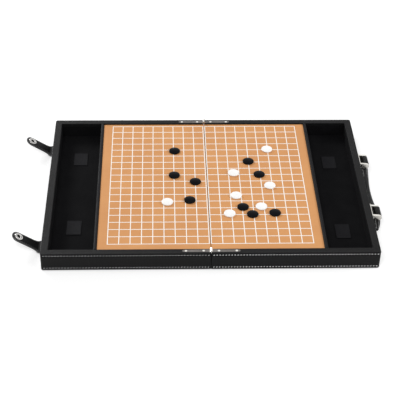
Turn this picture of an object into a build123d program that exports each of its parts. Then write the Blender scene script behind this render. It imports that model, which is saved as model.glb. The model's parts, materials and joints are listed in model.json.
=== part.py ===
from build123d import *
import math
import os

# A folding game case for a board of nineteen lines by nineteen. It lies open and flat, as two
# leather-covered half-trays hinged at the seam. Each half holds half of the board and, at its outer
# end, one compartment for the stones. The handle is on the right end wall, and two snap straps on
# the left one close over the right half when the case is folded.
# Millimetres. The origin is on the bottom, at the middle of the seam. +X points to the handle end,
# +Y to the back and +Z up.

# The board and its grid
cell = 15.5
cells = 18
grid_line = 1.2
grid_print = 0.1
margin_front = 12.3
margin_back = 5.3
margin_end = 13.5
board_thickness = 3.0
board_recess = 2.0
board_fit = 0.2
steel_thickness = 0.5

# The trays
rim_height = 28.0
wall = 10.0
leather = 1.0
seam_gap = 0.4
divider_thickness = 4.8
divider_fit = 0.3
compartment_length = 59.9
panel_thickness = 3.0
batten_width = 8.0
corner_radius = 3.0
edge_radius = 1.5
rim_edge_radius = 0.9
divider_round = 1.9
round_share = 0.45
finger_count = 5
batten_shares = (0.37, 0.69)

# The hook tape patches in the compartments: place of each centre from its half's end wall and from
# the middle of the case
patch_width = 20.0
patch_length = 30.0
patch_thickness = 1.0
patch_places = {
    "left": ((31.0, 86.0), (29.5, -76.0)),
    "right": ((31.0, 75.5), (31.0, -87.0)),
}

# The hinges
hinge_rise = 0.6
leaf_thickness = 1.1
leaf_width = 5.6
leaf_tip_width = 4.4
leaf_length = 39.0
leaf_inset = 1.5
leaf_fit = 0.1
knuckle_radius = 2.0
knuckle_length = 2.4
knuckle_fit = 0.1
pin_radius = 0.8
pin_fit = 0.05
barrel_clearance = 0.4
screw_places = (10.3, 34.0)
screw_radius = 0.8
screw_length = 8.0
screw_head_radius = 1.7

# The stones: place of each centre in cells, from the middle of the grid
stone_diameter = 16.4
stone_thickness = 2.9
stone_edge = 1.5
stone_foot = 0.4
black_stones = {
    "left": ((-2.98, 4.77), (-3.06, 0.88), (-1.11, -0.13), (-1.69, -2.90)),
    "right": ((4.02, 3.05), (4.92, 0.96), (3.11, -3.95), (3.91, -5.00), (5.95, -4.82)),
}
white_stones = {
    "left": ((-3.74, -3.16),),
    "right": ((5.95, 5.02), (2.51, 1.22), (5.79, -0.77), (2.58, -2.25), (4.78, -3.90), (1.85, -4.89)),
}

# The snap straps
strap_spacing = 225.0
strap_root_width = 24.0
strap_tip_width = 16.8
strap_flare = 10.8
strap_thickness = 2.6
strap_root_gap = 0.5
strap_root_proud = 0.2
strap_root_height = 2.3
strap_root_run = 3.8
strap_bend_radius = 5.0
strap_slope = 33.5
strap_straight = 38.2
strap_anchor_depth = 8.5
snap_from_tip = 8.6
snap_radius = 6.4
snap_height = 1.1
snap_mouth_radius = 2.9
snap_neck = 0.8
snap_post_radius = 3.4
snap_cap_radius = 6.8
snap_cap_height = 1.5
snap_gap = 0.6
stud_flange_radius = 4.5
stud_flange = 0.8
stud_radius = 2.3
stud_height = 1.3
stud_shank_radius = 1.2
stud_shank = 6.0

# The handle and its brackets
bracket_spacing = 122.0
bracket_width = 25.0
bracket_height = 18.0
bracket_plate = 1.6
bracket_plate_rise = 14.0
bracket_leg = 3.0
bracket_leg_radius = 3.4
bracket_reach = 10.9
bar_radius = 2.0
bracket_screw_rise = 4.6
bracket_screw_radius = 1.2
bracket_screw_head = 2.4
bracket_screw_length = 7.0
loop_leather = 1.8
loop_bar_fit = 0.3
loop_side_fit = 0.3
loop_tuck = 3.0
handle_lean = 17.0
grip_drop = 13.4
grip_radius = 4.2
grip_end_drop = 7.8
grip_end_half_width = 6.8
grip_end_half_height = 3.2
grip_overhang = 23.0
grip_tip_share = 0.97
grip_taper_power = 1.2
grip_steps = 4

# What follows from those sizes
board_half_depth = (cells * cell + margin_front + margin_back) / 2
board_length = cells * cell / 2 + margin_end
grid_middle = margin_front - board_half_depth + cells * cell / 2
inner_depth = board_half_depth + board_fit
half_depth = inner_depth + wall
divider_start = board_length + divider_fit
tray_start = divider_start + divider_thickness
tray_end = tray_start + compartment_length
half_width = tray_end + wall
wood = wall - 2 * leather
board_top = rim_height - board_recess
support_top = board_top - board_thickness - steel_thickness
panel_top = leather + panel_thickness
wood_top = rim_height - leather
spine_end = seam_gap + leather + wood
hinge_height = rim_height + hinge_rise
leaf_middle = inner_depth + leaf_inset + leaf_width / 2
SIDES = {"left": -1, "right": 1}
ENDS = {"front": -1, "rear": 1}


def block(side, near, far, front, back, low, high):
    """A box of one half, given by its nearest and farthest distance from the seam."""
    box = Box(far - near, back - front, high - low, align=(Align.MIN, Align.MIN, Align.MIN))
    box = Pos(near, front, low) * box
    return box if side > 0 else mirror(box, about=Plane.YZ)


def plan(near, far, depth, radius, low, high):
    """A tray's plan on the right half, as a solid with its two outer corners rounded."""
    solid = Pos((near + far) / 2, 0, low) * Box(
        far - near, 2 * depth, high - low, align=(Align.CENTER, Align.CENTER, Align.MIN)
    )
    outer = solid.edges().filter_by(Axis.Z).group_by(Axis.X)[-1]
    return fillet(outer, radius)


def sided(side, solid):
    """A solid that was built on the right half, on its own half."""
    return solid if side > 0 else mirror(solid, about=Plane.YZ)


def turned(outline):
    """A piece turned about Z, from half its outline as radii and heights."""
    return revolve(Plane.XZ * make_face(outline), Axis.Z)


def rod(radius, start, end, x, z):
    """A round rod along Y."""
    return Pos(x, start, z) * Rot(-90, 0, 0) * Cylinder(
        radius, end - start, align=(Align.CENTER, Align.CENTER, Align.MIN)
    )


def finger_cuts(end, odd):
    """Every second finger of the corner joint between a long wall and the end wall."""
    rise = (wood_top - leather) / finger_count
    near, far = half_width - leather - wood, half_width - leather
    low, high = sorted((end * (half_depth - leather), end * (half_depth - leather - wood)))
    cuts = []
    for number in range(finger_count):
        if number % 2 == odd:
            base = leather + number * rise
            cuts.append(block(1, near, far, low, high, base, base + rise))
    return cuts


def leaf_outline(extra, low, high):
    """A hinge leaf's outline on the right half, tapered to a round tip, as a solid."""
    half, tip = leaf_width / 2 + extra, leaf_tip_width / 2 + extra
    tip_centre = leaf_length - leaf_tip_width / 2
    corners = [(0, -half), (tip_centre, -tip), (tip_centre, tip), (0, half)]
    sketch = make_face(Polyline(*corners, close=True)) + Pos(tip_centre, 0) * Circle(tip)
    return Pos(0, 0, low) * extrude(sketch, high - low)


def knuckle_spans(side):
    """Where one half's knuckles lie along the hinge's barrel, from its middle: two on the left
    half's leaf with one of the right half's between them."""
    half = knuckle_length / 2
    if side > 0:
        return [(-half, half)]
    return [(-3 * half - knuckle_fit, -half - knuckle_fit), (half + knuckle_fit, 3 * half + knuckle_fit)]


def barrel_reach():
    return 1.5 * knuckle_length + knuckle_fit


def hinge_recess(end):
    """The room that a wall and its cover leave for the barrel and for the roots of its knuckles."""
    middle = end * leaf_middle
    reach = barrel_reach() + barrel_clearance
    radius = knuckle_radius + barrel_clearance
    round_part = rod(radius, middle - reach, middle + reach, 0, hinge_height)
    square_part = Pos(0, middle, wood_top) * Box(
        2 * radius, 2 * reach, leather, align=(Align.CENTER, Align.CENTER, Align.MIN)
    )
    return round_part + square_part


def screw_bores(side, end):
    bores = []
    for place in screw_places:
        bore = Cylinder(screw_radius, screw_length, align=(Align.CENTER, Align.CENTER, Align.MAX))
        bores.append(Pos(side * place, end * leaf_middle, wood_top) * bore)
    return bores


def inner_plan(low, high):
    """The plan of a half's wooden frame, one leather's thickness inside its cover."""
    near, far = seam_gap + leather, half_width - leather
    return plan(near, far, half_depth - leather, corner_radius - leather, low, high)


# The wooden walls, with finger joints at the two outer corners of each half
def long_wall(side, end):
    low, high = sorted((end * (half_depth - leather), end * (half_depth - leather - wood)))
    body = block(1, seam_gap + leather, half_width - leather, low, high, leather, wood_top)
    body = (body & inner_plan(leather, wood_top)) - finger_cuts(end, 1)
    return sided(side, body) - hinge_recess(end) - screw_bores(side, end)


def end_wall(side):
    depth = half_depth - leather
    body = block(1, half_width - leather - wood, half_width - leather, -depth, depth, leather, wood_top)
    body = (body & inner_plan(leather, wood_top)) - finger_cuts(-1, 0) - finger_cuts(1, 0)
    body = sided(side, body)
    if side < 0:
        return body - strap_slots()
    return body - stud_bores() - bracket_bores()


def spine_wall(side):
    depth = inner_depth + leather
    return block(side, seam_gap + leather, spine_end, -depth, depth, leather, support_top)


def bottom_panel(side):
    depth = inner_depth + leather
    return block(side, spine_end, tray_end + leather, -depth, depth, leather, panel_top)


# The leatherette: side cover turned under the bottom, bottom cover let in between, rim cover
def side_leather(side):
    outer = plan(seam_gap, half_width, half_depth, corner_radius, 0, support_top)
    outer = fillet(outer.edges().group_by(Axis.Z)[0], edge_radius)
    core = inner_plan(leather, support_top)
    depth = inner_depth + leather
    window = block(1, spine_end, tray_end + leather, -depth, depth, 0, leather)
    cover = sided(side, outer - core - window)
    if side < 0:
        return cover - strap_slots()
    return cover - stud_bores() - bracket_bores()


def bottom_leather(side):
    depth = inner_depth + leather
    return block(side, spine_end, tray_end + leather, -depth, depth, 0, leather)


def rim_leather(side):
    outer = plan(seam_gap, half_width, half_depth, corner_radius, support_top, rim_height)
    opening = block(1, 0, tray_end, -inner_depth, inner_depth, support_top, rim_height)
    outer = fillet((outer - opening).edges().group_by(Axis.Z)[-1], rim_edge_radius)
    core = inner_plan(support_top, wood_top)
    depth = inner_depth + leather
    core = core - block(1, 0, tray_end + leather, -depth, depth, support_top, wood_top)
    cover = outer - core
    for end in ENDS.values():
        outline = leaf_outline(leaf_fit, wood_top, rim_height)
        cover = cover - Pos(0, end * leaf_middle, 0) * outline - hinge_recess(end)
    cover = sided(side, cover)
    if side > 0:
        cover = cover - stud_bores() - bracket_bores()
    return cover


# The board and what carries it
def sheet(side, low, high):
    """A sheet of the board's size in one half."""
    return block(side, seam_gap, board_length, -board_half_depth, board_half_depth, low, high)


def board(side):
    return sheet(side, support_top + steel_thickness, board_top)


def steel_sheet(side):
    return sheet(side, support_top, support_top + steel_thickness)


def grid(side):
    """The printed lines of one half: nine columns of cells between ten lines. The line at the seam
    is printed on both halves."""
    half = grid_line / 2
    depth = cells * cell / 2
    low, high = board_top, board_top + grid_print
    front, back = grid_middle - depth - half, grid_middle + depth + half
    lattice = block(1, seam_gap, depth + half, front, back, low, high)
    holes = []
    for column in range(cells // 2):
        near = column * cell + half if column else seam_gap + grid_line
        far = (column + 1) * cell - half
        for row in range(cells):
            front = grid_middle - depth + row * cell + half
            holes.append(block(1, near, far, front, front + cell - grid_line, low, high))
    return sided(side, lattice - holes)


def board_supports(side):
    """Ledges along the front and rear walls and two cross battens between them."""
    depth = inner_depth + leather
    pieces = []
    for end in ENDS.values():
        low, high = sorted((end * depth, end * (depth - batten_width)))
        pieces.append(block(side, spine_end, divider_start, low, high, panel_top, support_top))
    for share in batten_shares:
        near = share * board_length - batten_width / 2
        reach = depth - batten_width
        pieces.append(block(side, near, near + batten_width, -reach, reach, panel_top, support_top))
    return pieces


def divider(side):
    body = block(1, divider_start, tray_start, -inner_depth, inner_depth, panel_top, rim_height)
    top = body.edges().group_by(Axis.Z)[-1].filter_by(Axis.Y)
    return sided(side, fillet(top, min(divider_round, divider_thickness * round_share)))


def tray_lining(side):
    depth = inner_depth + leather
    shell = block(1, tray_start, tray_end + leather, -depth, depth, panel_top, support_top)
    room = block(1, tray_start, tray_end, -inner_depth, inner_depth, panel_top + leather, support_top)
    return sided(side, shell - room)


def hook_patches(side, name):
    pieces = []
    base = panel_top + leather
    for from_end, place in patch_places[name]:
        middle = tray_end - from_end
        patch = block(
            1,
            middle - patch_width / 2,
            middle + patch_width / 2,
            place - patch_length / 2,
            place + patch_length / 2,
            base,
            base + patch_thickness,
        )
        pieces.append(sided(side, fillet(patch.edges().filter_by(Axis.Z), patch_thickness)))
    return pieces


# The hinges: leaves let into the rims, interleaved knuckles and a pin
def hinge_leaf(side, end):
    middle = end * leaf_middle
    leaf = sided(side, leaf_outline(0, wood_top, wood_top + leaf_thickness))
    reach = barrel_reach() + barrel_clearance
    leaf = leaf - rod(knuckle_radius + knuckle_fit, -reach, reach, 0, hinge_height)
    inner = knuckle_radius + knuckle_fit
    for start, stop in knuckle_spans(side):
        near, far = pin_radius + pin_fit, inner + knuckle_fit
        neck = block(side, near, far, start, stop, wood_top, wood_top + leaf_thickness)
        leaf = leaf + neck + rod(knuckle_radius, start, stop, 0, hinge_height)
    bore = pin_radius if side < 0 else pin_radius + pin_fit
    leaf = leaf - rod(bore, -reach, reach, 0, hinge_height)
    for place in screw_places:
        leaf = leaf - Pos(side * place, 0, wood_top) * hinge_screw()
    return Pos(0, middle, 0) * leaf


def hinge_pin(end):
    middle = end * leaf_middle
    return rod(pin_radius, middle - barrel_reach(), middle + barrel_reach(), 0, hinge_height)


def hinge_screw():
    """A countersunk screw, whose head fills the leaf's hole, from the wood's top."""
    outline = [
        (0, -screw_length),
        (screw_radius, -screw_length),
        (screw_radius, 0),
        (screw_head_radius, leaf_thickness),
        (0, leaf_thickness),
    ]
    return turned(Polyline(*outline, close=True))


def hinge_screws(side):
    pieces = []
    for end in ENDS.values():
        for place in screw_places:
            pieces.append(Pos(side * place, end * leaf_middle, wood_top) * hinge_screw())
    return pieces


# The stones, flat below and domed above
def stone(place):
    radius = stone_diameter / 2
    outline = [
        Line((0, 0), (radius - stone_foot, 0)),
        Line((radius - stone_foot, 0), (radius, stone_foot)),
        Line((radius, stone_foot), (radius, stone_edge)),
    ]
    sag = stone_thickness - stone_edge
    dome_radius = (radius**2 + sag**2) / (2 * sag)
    half_angle = math.asin(radius / dome_radius) / 2
    middle = (
        dome_radius * math.sin(half_angle),
        stone_thickness - dome_radius * (1 - math.cos(half_angle)),
    )
    outline.append(ThreePointArc((radius, stone_edge), middle, (0, stone_thickness)))
    outline.append(Line((0, stone_thickness), (0, 0)))
    column, row = place
    return Pos(column * cell, grid_middle + row * cell, board_top + grid_print) * turned(outline)


# The snap straps. The strap leaves the bottom of the left end wall, bends up and runs straight to a
# round tip that holds the snap. Its root turns on an axis beside the wall.
strap_axis_x = -(half_width + strap_root_gap + strap_thickness / 2)
slope = math.radians(strap_slope)
bend_x = strap_axis_x - strap_root_run
rise_x = bend_x - strap_bend_radius * math.sin(slope)
rise_z = strap_root_height + strap_bend_radius * (1 - math.cos(slope))
snap_along = strap_straight - snap_from_tip
snap_x = rise_x - snap_along * math.cos(slope)
snap_z = rise_z + snap_along * math.sin(slope)
snap_arm = math.hypot(snap_x - strap_axis_x, snap_z - strap_root_height)
snap_angle = math.atan2(snap_z - strap_root_height, strap_axis_x - snap_x)
closed_offset = stud_flange + snap_gap + snap_height + strap_thickness / 2
closed_angle = math.acos((closed_offset - strap_root_gap - strap_thickness / 2) / snap_arm)
strap_close = math.degrees(closed_angle - snap_angle)
stud_rise = 2 * hinge_height - strap_root_height - snap_arm * math.sin(closed_angle)


def rise_plane(end):
    """The middle plane of the strap's straight stretch, with its x along the strap and its z on the
    side that faces the case when the strap is closed."""
    return Plane(
        origin=(rise_x, end * strap_spacing / 2, rise_z),
        x_dir=(-math.cos(slope), 0, math.sin(slope)),
        z_dir=(math.sin(slope), 0, math.cos(slope)),
    )


def snap_plane(end):
    plane = rise_plane(end)
    return Plane(
        origin=plane.origin + plane.x_dir * snap_along, x_dir=plane.x_dir, z_dir=plane.z_dir
    )


def flare_half_width(left):
    """Half the strap's width where the flare of its root still runs on for the given length."""
    step = (strap_root_width - strap_tip_width) / 2
    radius = (strap_flare**2 + step**2) / (2 * step)
    return strap_tip_width / 2 + radius - math.sqrt(radius**2 - left**2)


def strap_outline(end):
    """The strap's outline as a prism square to its straight stretch: a flared root and a round tip."""
    root, tip = strap_root_width / 2, strap_tip_width / 2
    back = -2 * (strap_root_run + strap_bend_radius)
    start = -strap_bend_radius * math.sin(slope)
    middle = (start + strap_flare / 2, flare_half_width(strap_flare / 2))
    stop = start + strap_flare
    tip_centre = strap_straight - tip
    face = make_face(
        [
            Line((back, -root), (back, root)),
            Line((back, root), (start, root)),
            ThreePointArc((start, root), middle, (stop, tip)),
            Line((stop, tip), (tip_centre, tip)),
            ThreePointArc((tip_centre, tip), (strap_straight, 0), (tip_centre, -tip)),
            Line((tip_centre, -tip), (stop, -tip)),
            ThreePointArc((stop, -tip), (middle[0], -middle[1]), (start, -root)),
            Line((start, -root), (back, -root)),
        ]
    )
    return extrude(rise_plane(end) * face, strap_root_width, both=True)


def strap(end):
    half = strap_thickness / 2
    middle = end * strap_spacing / 2
    low, high = middle - strap_root_width / 2, middle + strap_root_width / 2
    root = rod(half, low, high, strap_axis_x, strap_root_height)
    run = Pos((strap_axis_x + bend_x) / 2, middle, strap_root_height) * Box(
        strap_root_run, strap_root_width, strap_thickness
    )
    arc_centre = (bend_x, strap_root_height + strap_bend_radius)
    inner, outer = strap_bend_radius - half, strap_bend_radius + half

    def on_arc(radius, angle):
        return (arc_centre[0] - radius * math.sin(angle), arc_centre[1] - radius * math.cos(angle))

    section = make_face(
        [
            Line(on_arc(inner, 0), on_arc(outer, 0)),
            ThreePointArc(on_arc(outer, 0), on_arc(outer, slope / 2), on_arc(outer, slope)),
            Line(on_arc(outer, slope), on_arc(inner, slope)),
            ThreePointArc(on_arc(inner, slope), on_arc(inner, slope / 2), on_arc(inner, 0)),
        ]
    )
    bend = Pos(0, middle, 0) * extrude(Plane.XZ * section, strap_root_width / 2, both=True)
    blade = Pos(strap_straight / 2, 0, 0) * Box(strap_straight, strap_root_width, strap_thickness)
    band = (root + run + bend + rise_plane(end) * blade) & strap_outline(end)
    return band - snap_plane(end) * Cylinder(snap_post_radius, 2 * strap_thickness)


def snap_socket(end):
    """The ring on the face that meets the stud, with a neck in the strap's hole."""
    base = strap_thickness / 2
    low, top = base - snap_neck, base + snap_height
    bevel = snap_height / 2
    outline = [
        (snap_mouth_radius, low),
        (snap_post_radius, low),
        (snap_post_radius, base),
        (snap_radius, base),
        (snap_radius, top - bevel),
        (snap_radius - bevel, top),
        (snap_radius - snap_height, top),
        ((snap_radius + snap_mouth_radius) / 2, top - bevel),
        (snap_mouth_radius + bevel, top),
        (snap_mouth_radius, top - bevel),
    ]
    return snap_plane(end) * turned(Polyline(*outline, close=True))


def snap_cap(end):
    """The cap on the outer face, whose post fills the rest of the strap's hole."""
    base = -strap_thickness / 2
    outline = [
        (0, base - snap_cap_height),
        (snap_cap_radius - snap_cap_height, base - snap_cap_height),
        (snap_cap_radius, base),
        (snap_post_radius, base),
        (snap_post_radius, -base - snap_neck),
        (0, -base - snap_neck),
    ]
    return snap_plane(end) * turned(Polyline(*outline, close=True))


def strap_slots():
    """The slots in the left end wall and its cover that hold the roots of the straps."""
    return [strap_anchor(end, 0) for end in ENDS.values()]


def strap_anchor(end, proud):
    middle = end * strap_spacing / 2
    return block(
        -1,
        half_width - strap_anchor_depth,
        half_width + proud,
        middle - strap_root_width / 2,
        middle + strap_root_width / 2,
        strap_root_height - strap_thickness / 2,
        strap_root_height + strap_thickness / 2,
    )


def strap_roots():
    return [strap_anchor(end, strap_root_proud) for end in ENDS.values()]


# The studs on the right end wall, where the straps' snaps come when the case is folded
def outward(outline, y, z):
    """A piece turned about X that stands out of the right end wall's face, or reaches into it."""
    return Pos(half_width, y, z) * Rot(0, 90, 0) * turned(Polyline(*outline, close=True))


def bores(radius, depth, points):
    outline = [(0, -depth), (radius, -depth), (radius, 0), (0, 0)]
    return [outward(outline, y, z) for y, z in points]


def stud_points():
    return [(end * strap_spacing / 2, stud_rise) for end in ENDS.values()]


def stud_bores():
    return bores(stud_shank_radius, stud_shank, stud_points())


def snap_studs():
    bevel, top = stud_flange / 2, stud_flange + stud_height
    outline = [
        (0, -stud_shank),
        (stud_shank_radius, -stud_shank),
        (stud_shank_radius, 0),
        (stud_flange_radius, 0),
        (stud_flange_radius, bevel),
        (stud_flange_radius - bevel, stud_flange),
        (stud_radius, stud_flange),
        (stud_radius, top - bevel),
        (stud_radius - bevel, top),
        (0, top),
    ]
    return [outward(outline, y, z) for y, z in stud_points()]


# The handle brackets: a plate, two legs with round ends and a bar between them
bar_x = half_width + bracket_reach


def bracket_screw_points():
    points = []
    for end in ENDS.values():
        for rise in (-bracket_screw_rise, bracket_screw_rise):
            points.append((end * bracket_spacing / 2, bracket_height + rise))
    return points


def bracket_bores():
    return bores(bracket_screw_radius, bracket_screw_length, bracket_screw_points())


def handle_bracket(end):
    middle = end * bracket_spacing / 2
    plate = block(
        1,
        half_width,
        half_width + bracket_plate,
        middle - bracket_width / 2,
        middle + bracket_width / 2,
        bracket_height - bracket_plate_rise / 2,
        bracket_height + bracket_plate_rise / 2,
    )
    plate = fillet(plate.edges().filter_by(Axis.X), bracket_plate)
    body = plate
    for edge in (-1, 1):
        far = middle + edge * bracket_width / 2
        start, stop = sorted((far, far - edge * bracket_leg))
        low, high = bracket_height - bracket_leg_radius, bracket_height + bracket_leg_radius
        leg = block(1, half_width, bar_x, start, stop, low, high)
        leg = leg + rod(bracket_leg_radius, start, stop, bar_x, bracket_height)
        body = body + leg
    inner = bracket_width / 2 - bracket_leg
    body = body + rod(bar_radius, middle - inner, middle + inner, bar_x, bracket_height)
    return body - bracket_screws()


def bracket_screws():
    """Countersunk screws, whose heads lie flush in the plates."""
    outline = [
        (0, -bracket_screw_length),
        (bracket_screw_radius, -bracket_screw_length),
        (bracket_screw_radius, bracket_plate - (bracket_screw_head - bracket_screw_radius)),
        (bracket_screw_head, bracket_plate),
        (0, bracket_plate),
    ]
    return [outward(outline, y, z) for y, z in bracket_screw_points()]


# The handle hangs from the bars of the brackets and leans in towards the wall: two leather loops
# and a padded grip, which is round and hangs lowest in its middle, is flat and wide under the bars
# and tapers beyond them.
lean = math.radians(handle_lean)
loop_radius = bar_radius + loop_bar_fit + loop_leather


def grip_section(place):
    """One oval section of the grip, square to Y."""
    reach = bracket_spacing / 2
    quarter = math.pi / 2 * min(abs(place) / reach, 1)
    drop = grip_end_drop + (grip_drop - grip_end_drop) * math.cos(quarter)
    flat = math.sin(quarter) ** 2
    past = max(abs(place) - reach, 0) / grip_overhang
    size = math.sqrt(1 - past**grip_taper_power)
    width = size * (grip_radius + (grip_end_half_width - grip_radius) * flat)
    height = size * (grip_radius + (grip_end_half_height - grip_radius) * flat)
    origin = (bar_x - drop * math.sin(lean), place, bracket_height - drop * math.cos(lean))
    plane = Plane(origin=origin, x_dir=(math.cos(lean), 0, -math.sin(lean)), z_dir=(0, -1, 0))
    return plane * Ellipse(width, height)


def handle_grip():
    reach = bracket_spacing / 2
    places = [reach * step / grip_steps for step in range(grip_steps + 1)]
    for step in range(1, grip_steps + 1):
        share = grip_tip_share * math.sin(math.pi / 2 * step / grip_steps)
        places.append(reach + grip_overhang * share)
    places = [-place for place in places[:0:-1]] + places
    body = loft([grip_section(place) for place in places], ruled=True)
    for end in ENDS.values():
        body = body - loop_neck(end)
    return body


def loop_neck(end):
    """The two plies of a loop below its bar, stitched together and tucked into the grip."""
    middle = end * bracket_spacing / 2
    width = bracket_width - 2 * bracket_leg - 2 * loop_side_fit
    length = grip_end_drop - grip_end_half_height + loop_tuck
    neck = Pos(0, 0, -length / 2) * Box(2 * loop_leather, width, length)
    return Pos(bar_x, middle, bracket_height) * Rot(0, handle_lean, 0) * neck


def handle_loop(end):
    middle = end * bracket_spacing / 2
    half = bracket_width / 2 - bracket_leg - loop_side_fit
    ring = rod(loop_radius, middle - half, middle + half, bar_x, bracket_height)
    hole = rod(bar_radius + loop_bar_fit, middle - half, middle + half, bar_x, bracket_height)
    return ring + loop_neck(end) - hole


def pieces():
    """Every sub-part, by the name of its file."""
    named = {}
    for name, side in SIDES.items():
        for end_name, end in ENDS.items():
            named[f"{name}_{end_name}_wall"] = long_wall(side, end)
            named[f"{name}_{end_name}_hinge_leaf"] = hinge_leaf(side, end)
        named[f"{name}_end_wall"] = end_wall(side)
        named[f"{name}_spine_wall"] = spine_wall(side)
        named[f"{name}_bottom_panel"] = bottom_panel(side)
        named[f"{name}_side_leather"] = side_leather(side)
        named[f"{name}_bottom_leather"] = bottom_leather(side)
        named[f"{name}_rim_leather"] = rim_leather(side)
        named[f"{name}_board"] = board(side)
        named[f"{name}_steel_sheet"] = steel_sheet(side)
        named[f"{name}_grid"] = grid(side)
        named[f"{name}_board_supports"] = board_supports(side)
        named[f"{name}_divider"] = divider(side)
        named[f"{name}_tray_lining"] = tray_lining(side)
        named[f"{name}_hook_patches"] = hook_patches(side, name)
        named[f"{name}_hinge_screws"] = hinge_screws(side)
        named[f"{name}_black_stones"] = [stone(place) for place in black_stones[name]]
        named[f"{name}_white_stones"] = [stone(place) for place in white_stones[name]]
    for end_name, end in ENDS.items():
        named[f"{end_name}_hinge_pin"] = hinge_pin(end)
        named[f"{end_name}_strap"] = strap(end)
        named[f"{end_name}_snap_socket"] = snap_socket(end)
        named[f"{end_name}_snap_cap"] = snap_cap(end)
        named[f"{end_name}_handle_bracket"] = handle_bracket(end)
        named[f"{end_name}_handle_loop"] = handle_loop(end)
    named["strap_roots"] = strap_roots()
    named["snap_studs"] = snap_studs()
    named["bracket_screws"] = bracket_screws()
    named["handle_grip"] = handle_grip()
    return named


os.makedirs("parts", exist_ok=True)
for piece_name, piece in pieces().items():
    solids = piece if isinstance(piece, list) else [piece]
    solids = [solid for item in solids for solid in item.solids()]
    shape = solids[0] if len(solids) == 1 else Compound(children=solids)
    export_step(shape, f"parts/{piece_name}.step")
print("strap axis", round(strap_axis_x, 3), strap_root_height, "closes by", round(strap_close, 3))
print("stud height", round(stud_rise, 3), "handle axis", round(bar_x, 3), bracket_height)
print("half width", half_width, "case depth", 2 * half_depth, "hinge height", hinge_height)
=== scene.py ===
import bpy
import bmesh
import json
import math
import random
from mathutils import Matrix, Vector


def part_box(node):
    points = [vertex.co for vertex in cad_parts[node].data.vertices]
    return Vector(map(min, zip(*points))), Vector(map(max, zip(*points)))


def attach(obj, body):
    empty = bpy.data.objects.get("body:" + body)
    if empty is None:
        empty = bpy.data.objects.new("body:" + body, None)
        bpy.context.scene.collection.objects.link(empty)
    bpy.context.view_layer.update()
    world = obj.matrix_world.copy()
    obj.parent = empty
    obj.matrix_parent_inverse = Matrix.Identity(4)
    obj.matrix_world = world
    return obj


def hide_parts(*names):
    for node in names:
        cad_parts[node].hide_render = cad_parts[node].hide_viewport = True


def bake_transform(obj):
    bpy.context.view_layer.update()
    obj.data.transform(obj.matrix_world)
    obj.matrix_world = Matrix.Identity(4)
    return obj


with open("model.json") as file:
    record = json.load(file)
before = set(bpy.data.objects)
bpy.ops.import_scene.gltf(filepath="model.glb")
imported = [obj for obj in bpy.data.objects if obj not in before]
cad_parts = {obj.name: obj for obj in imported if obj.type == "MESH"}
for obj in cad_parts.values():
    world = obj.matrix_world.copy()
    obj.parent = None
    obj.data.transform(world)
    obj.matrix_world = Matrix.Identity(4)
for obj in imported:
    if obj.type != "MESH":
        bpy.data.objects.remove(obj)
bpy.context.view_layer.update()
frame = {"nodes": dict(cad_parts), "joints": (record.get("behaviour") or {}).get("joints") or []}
nodes = frame["nodes"]
HALVES = {"left": -1, "right": 1}
ENDS = {"front": -1, "rear": 1}
mm = 0.001


# Wooden trays. The walls are planed strips with finger joints at the outer corners, and the bottoms
# are thin panels. The covers hide nearly all of the wood, so it is left raw.
def place(tree, kind, values=None, **settings):
    """A node with its settings and its inputs: numbers, colours or the outputs of other nodes."""
    made = tree.nodes.new(kind)
    for name, value in settings.items():
        setattr(made, name, value)
    for key, value in (values or {}).items():
        if isinstance(value, bpy.types.NodeSocket):
            tree.links.new(value, made.inputs[key])
        else:
            made.inputs[key].default_value = value
    return made


def object_place(tree):
    """Places in the piece's own frame, so that a finish moves with it."""
    return place(tree, "ShaderNodeTexCoord").outputs["Object"]


def noise(tree, where, scale, detail):
    values = {"Vector": where, "Scale": scale, "Detail": detail}
    return place(tree, "ShaderNodeTexNoise", values).outputs["Fac"]


def worked(tree, operation, first, second):
    """One step of arithmetic on two values."""
    return place(tree, "ShaderNodeMath", {0: first, 1: second}, operation=operation).outputs[0]


def worked_places(tree, operation, first, second):
    """One step of arithmetic on two places."""
    return place(tree, "ShaderNodeVectorMath", {0: first, 1: second}, operation=operation).outputs[0]


def new_group(name, inputs, outputs):
    """A node group with named number inputs and number outputs."""
    tree = bpy.data.node_groups.new(name, "ShaderNodeTree")
    for label, value in inputs.items():
        made = tree.interface.new_socket(label, in_out="INPUT", socket_type="NodeSocketFloat")
        made.default_value = value
    for label in outputs:
        tree.interface.new_socket(label, in_out="OUTPUT", socket_type="NodeSocketFloat")
    return tree, tree.nodes.new("NodeGroupInput").outputs, tree.nodes.new("NodeGroupOutput")


def place_group(tree, group, **values):
    """The outputs of a node group, placed with some of its inputs set by name."""
    made = place(tree, "ShaderNodeGroup", node_tree=group)
    for name, value in values.items():
        made.inputs[name.replace("_", " ")].default_value = value
    return made.outputs


def one_over(tree, value):
    return worked(tree, "DIVIDE", 1.0, value)


def ramp(tree, value, low, high, start=0.0, stop=1.0):
    """A value carried from one range to another and held at the ends."""
    values = {"Value": value, "From Min": low, "From Max": high, "To Min": start, "To Max": stop}
    return place(tree, "ShaderNodeMapRange", values).outputs[0]


def mixed(tree, share, first, second):
    """Two colours, or outputs that give colours, mixed by a share."""
    made = place(tree, "ShaderNodeMix", {0: share}, data_type="RGBA")
    for place_in, value in ((6, first), (7, second)):
        if isinstance(value, bpy.types.NodeSocket):
            tree.links.new(value, made.inputs[place_in])
        else:
            made.inputs[place_in].default_value = (*value, 1)
    return made.outputs[2]


def new_material(name, specular=0.5):
    made = bpy.data.materials.new(name)
    made.use_nodes = True
    shader = made.node_tree.nodes["Principled BSDF"]
    shader.inputs["Specular IOR Level"].default_value = specular
    return made, made.node_tree, shader.inputs


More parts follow.
